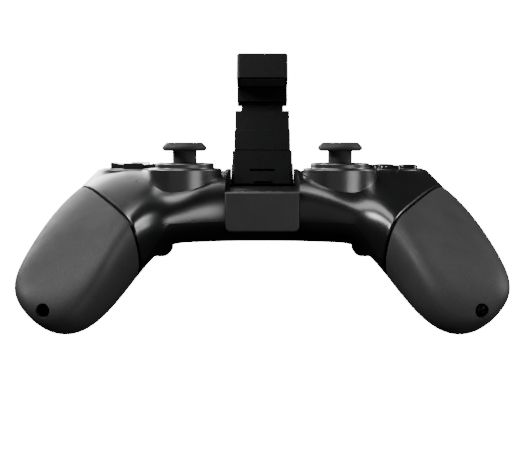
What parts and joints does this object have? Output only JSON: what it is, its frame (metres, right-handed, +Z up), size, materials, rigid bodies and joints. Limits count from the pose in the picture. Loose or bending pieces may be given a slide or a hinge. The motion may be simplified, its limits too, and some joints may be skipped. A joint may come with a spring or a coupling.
{
  "type": "mobile game controller",
  "caption": "Two-handled thumbstick gamepad with a direction pad, face keys, triggers and a folding, telescoping phone clamp.",
  "frame": {"origin": "centre of the bounding box's footprint, at the height of the surface that the grip ends and trigger tips stand on", "axes": "+X from the left grip to the right grip, +Y away from the player, +Z up, with the clamp open"},
  "size_m": [0.159, 0.1268, 0.0854],
  "materials": {
    "top_shell": "satin",
    "bottom_shell": "matte",
    "grip": "fine matte texture",
    "block": "satin",
    "cradle": "satin",
    "pod": "glossy",
    "key": "satin",
    "rubber": "matte",
    "board": "solder mask",
    "cell": "film",
    "steel": "plain",
    "lens": "clear",
    "case": "plain",
    "clamp": "satin"
  },
  "bodies": {
    "housing": {"top_housing": "top_shell", "bottom_housing": "bottom_shell", "left_grip": "grip", "right_grip": "grip", "front_block": "block", "clamp_cradle": "cradle", "left_stick_pod": "pod", "right_stick_pod": "pod", "dpad_bezel": "pod", "button_bezel": "pod", "main_board": "board", "battery": "cell", "left_key_board": "board", "right_key_board": "board", "usb_port": "steel", "status_lights": "lens", "dpad_membrane": "rubber", "button_membrane": "rubber", "housing_screws": "steel", "grip_screws": "steel", "trigger_pins": "steel", "clamp_pin": "steel", "left_stick_module": "case", "right_stick_module": "case", "left_trigger_spring": "steel", "right_trigger_spring": "steel"},
    "left_ring": {"left_gimbal_ring": "case"},
    "left_block": {"left_gimbal_block": "case"},
    "left_stick": {"left_stick_stem": "steel", "left_stick_cap": "rubber"},
    "right_ring": {"right_gimbal_ring": "case"},
    "right_block": {"right_gimbal_block": "case"},
    "right_stick": {"right_stick_stem": "steel", "right_stick_cap": "rubber"},
    "dpad_pivot": {"dpad_pivot": "steel"},
    "dpad": {"dpad": "key"},
    "button_rear": {"button_rear": "key"},
    "button_front": {"button_front": "key"},
    "button_inner": {"button_inner": "key"},
    "button_outer": {"button_outer": "key"},
    "select_button": {"select_button": "key"},
    "start_button": {"start_button": "key"},
    "turbo_button": {"turbo_button": "key"},
    "home_button": {"home_button": "key"},
    "left_bumper": {"left_bumper": "key"},
    "left_trigger": {"left_trigger": "key"},
    "right_bumper": {"right_bumper": "key"},
    "right_trigger": {"right_trigger": "key"},
    "clamp": {"clamp_base": "clamp", "lower_jaw_pad": "rubber"},
    "middle_slide": {"middle_slide": "clamp"},
    "top_slide": {"top_slide": "clamp", "upper_jaw_pad": "rubber"}
  },
  "joints": [
    {"name": "left_stick_pitch", "type": "hinge", "parent": "housing", "child": "left_ring", "pos_m": [-0.0287, -0.00521, 0.03214], "axis": [1, 0, 0], "range_deg": [-12, 12], "stiffness_Nm_per_rad": 0.06},
    {"name": "left_stick_roll", "type": "hinge", "parent": "left_ring", "child": "left_block", "pos_m": [-0.0287, -0.00521, 0.03214], "axis": [0, 0.9903, -0.1392], "range_deg": [-12, 12], "stiffness_Nm_per_rad": 0.06},
    {"name": "left_stick_click", "type": "slide", "parent": "left_block", "child": "left_stick", "axis": [0, -0.1392, -0.9903], "range_m": [0, 0.0005], "stiffness_N_per_m": 2000, "springref_m": -0.0005},
    {"name": "right_stick_pitch", "type": "hinge", "parent": "housing", "child": "right_ring", "pos_m": [0.0287, -0.00521, 0.03214], "axis": [1, 0, 0], "range_deg": [-12, 12], "stiffness_Nm_per_rad": 0.06},
    {"name": "right_stick_roll", "type": "hinge", "parent": "right_ring", "child": "right_block", "pos_m": [0.0287, -0.00521, 0.03214], "axis": [0, 0.9903, -0.1392], "range_deg": [-12, 12], "stiffness_Nm_per_rad": 0.06},
    {"name": "right_stick_click", "type": "slide", "parent": "right_block", "child": "right_stick", "axis": [0, -0.1392, -0.9903], "range_m": [0, 0.0005], "stiffness_N_per_m": 2000, "springref_m": -0.0005},
    {"name": "dpad_pitch", "type": "hinge", "parent": "housing", "child": "dpad_pivot", "pos_m": [-0.0504, 0.01747, 0.03541], "axis": [1, 0, 0], "range_deg": [-4, 4], "stiffness_Nm_per_rad": 0.2},
    {"name": "dpad_roll", "type": "hinge", "parent": "dpad_pivot", "child": "dpad", "pos_m": [-0.0504, 0.01747, 0.03541], "axis": [0, 0.9903, -0.1392], "range_deg": [-4, 4], "stiffness_Nm_per_rad": 0.2},
    {"name": "button_rear_press", "type": "slide", "parent": "housing", "child": "button_rear", "axis": [0, -0.1392, -0.9903], "range_m": [0, 0.001], "stiffness_N_per_m": 600, "springref_m": -0.0008},
    {"name": "button_front_press", "type": "slide", "parent": "housing", "child": "button_front", "axis": [0, -0.1392, -0.9903], "range_m": [0, 0.001], "stiffness_N_per_m": 600, "springref_m": -0.0008},
    {"name": "button_inner_press", "type": "slide", "parent": "housing", "child": "button_inner", "axis": [0, -0.1392, -0.9903], "range_m": [0, 0.001], "stiffness_N_per_m": 600, "springref_m": -0.0008},
    {"name": "button_outer_press", "type": "slide", "parent": "housing", "child": "button_outer", "axis": [0, -0.1392, -0.9903], "range_m": [0, 0.001], "stiffness_N_per_m": 600, "springref_m": -0.0008},
    {"name": "select_button_press", "type": "slide", "parent": "housing", "child": "select_button", "axis": [0, -0.1392, -0.9903], "range_m": [0, 0.0004], "stiffness_N_per_m": 1500, "springref_m": -0.0003},
    {"name": "start_button_press", "type": "slide", "parent": "housing", "child": "start_button", "axis": [0, -0.1392, -0.9903], "range_m": [0, 0.0004], "stiffness_N_per_m": 1500, "springref_m": -0.0003},
    {"name": "turbo_button_press", "type": "slide", "parent": "housing", "child": "turbo_button", "axis": [0, -0.1392, -0.9903], "range_m": [0, 0.0004], "stiffness_N_per_m": 1500, "springref_m": -0.0003},
    {"name": "home_button_press", "type": "slide", "parent": "housing", "child": "home_button", "axis": [0, -0.1392, -0.9903], "range_m": [0, 0.0004], "stiffness_N_per_m": 1500, "springref_m": -0.0003},
    {"name": "left_bumper_press", "type": "slide", "parent": "housing", "child": "left_bumper", "axis": [0, -0.9903, 0.1392], "range_m": [0, 0.0008], "stiffness_N_per_m": 1500, "springref_m": -0.0008},
    {"name": "left_trigger_pull", "type": "hinge", "parent": "housing", "child": "left_trigger", "pos_m": [-0.0469, 0.02106, 0.01784], "axis": [-1, 0, 0], "range_deg": [0, 14], "stiffness_Nm_per_rad": 0.06, "springref_deg": -28.65},
    {"name": "right_bumper_press", "type": "slide", "parent": "housing", "child": "right_bumper", "axis": [0, -0.9903, 0.1392], "range_m": [0, 0.0008], "stiffness_N_per_m": 1500, "springref_m": -0.0008},
    {"name": "right_trigger_pull", "type": "hinge", "parent": "housing", "child": "right_trigger", "pos_m": [0.0469, 0.02106, 0.01784], "axis": [-1, 0, 0], "range_deg": [0, 14], "stiffness_Nm_per_rad": 0.06, "springref_deg": -28.65},
    {"name": "clamp_fold", "type": "hinge", "parent": "housing", "child": "clamp", "pos_m": [0, 0.02657, 0.03262], "axis": [1, 0, 0], "range_deg": [0, 110]},
    {"name": "middle_pull", "type": "slide", "parent": "clamp", "child": "middle_slide", "axis": [0, 0.4695, 0.8829], "range_m": [0, 0.011], "stiffness_N_per_m": 80, "springref_m": -0.02},
    {"name": "top_pull", "type": "slide", "parent": "middle_slide", "child": "top_slide", "axis": [0, 0.4695, 0.8829], "range_m": [0, 0.02], "stiffness_N_per_m": 80, "springref_m": -0.02}
  ]
}
